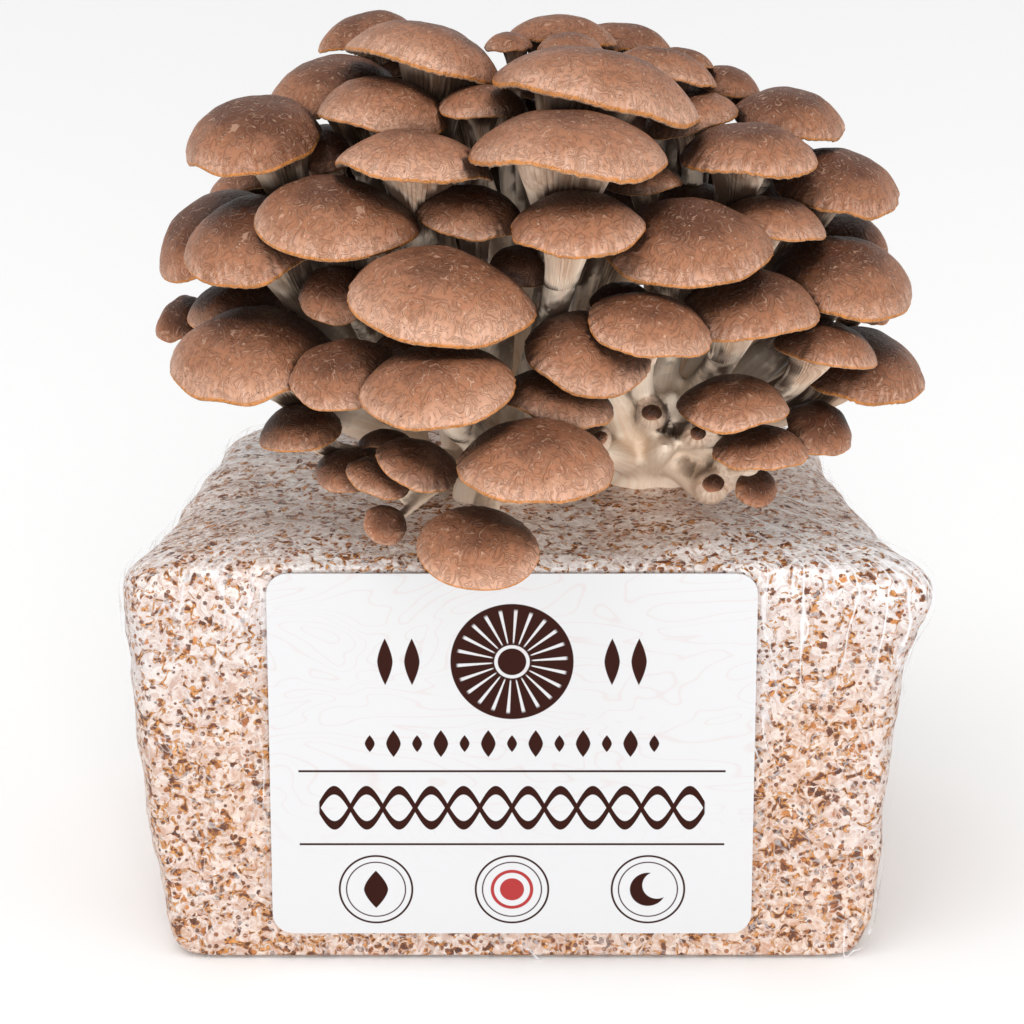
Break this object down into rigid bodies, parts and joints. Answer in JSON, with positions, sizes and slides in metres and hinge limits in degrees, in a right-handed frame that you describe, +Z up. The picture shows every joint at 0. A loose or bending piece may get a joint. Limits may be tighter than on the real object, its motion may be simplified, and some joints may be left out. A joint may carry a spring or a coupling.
{
  "type": "oyster mushroom grow kit",
  "caption": "Bouquet of brown oyster mushrooms growing from the cut top of a sawdust block in a clear bag with a label on its front.",
  "frame": {"origin": "middle of the block's flat base", "axes": "+Z up, -Y towards the label, +X to the right as the label is read"},
  "size_m": [0.2032, 0.1945, 0.2369],
  "materials": {
    "substrate": "pale mycelium over orange-brown sawdust and grain",
    "film": "clear, glossy, creased",
    "paper": "smooth, printed",
    "cap_skin": "satin, finely mottled",
    "stem_flesh": "matt, lengthwise fibres"
  },
  "bodies": {
    "root": {"cap_front_1": "cap_skin", "cap_front_10": "cap_skin", "cap_front_2": "cap_skin", "cap_front_3": "cap_skin", "cap_front_4": "cap_skin", "cap_front_5": "cap_skin", "cap_front_6": "cap_skin", "cap_front_7": "cap_skin", "cap_front_8": "cap_skin", "cap_front_9": "cap_skin", "cap_left_1": "cap_skin", "cap_left_2": "cap_skin", "cap_left_3": "cap_skin", "cap_left_4": "cap_skin", "cap_left_5": "cap_skin", "cap_left_6": "cap_skin", "cap_left_7": "cap_skin", "cap_rear_1": "cap_skin", "cap_rear_2": "cap_skin", "cap_rear_3": "cap_skin", "cap_rear_4": "cap_skin", "cap_rear_5": "cap_skin", "cap_rear_6": "cap_skin", "cap_rear_7": "cap_skin", "cap_right_1": "cap_skin", "cap_right_10": "cap_skin", "cap_right_2": "cap_skin", "cap_right_3": "cap_skin", "cap_right_4": "cap_skin", "cap_right_5": "cap_skin", "cap_right_6": "cap_skin", "cap_right_7": "cap_skin", "cap_right_8": "cap_skin", "cap_right_9": "cap_skin", "cap_top_1": "cap_skin", "cap_top_2": "cap_skin", "cap_top_3": "cap_skin", "cap_top_4": "cap_skin", "cap_top_left_1": "cap_skin", "cap_top_left_2": "cap_skin", "cap_top_left_3": "cap_skin", "cap_top_left_4": "cap_skin", "cap_top_left_5": "cap_skin", "cap_top_right_1": "cap_skin", "cap_top_right_2": "cap_skin", "cap_top_right_3": "cap_skin", "cap_top_right_4": "cap_skin", "cap_top_right_5": "cap_skin", "cap_top_right_6": "cap_skin", "cap_top_right_7": "cap_skin", "clear_bag": "film", "label": "paper", "stems_front": "stem_flesh", "stems_left": "stem_flesh", "stems_rear": "stem_flesh", "stems_right": "stem_flesh", "stems_top": "stem_flesh", "stems_top_left": "stem_flesh", "stems_top_right": "stem_flesh", "substrate_block": "substrate"}
  },
  "joints": []
}
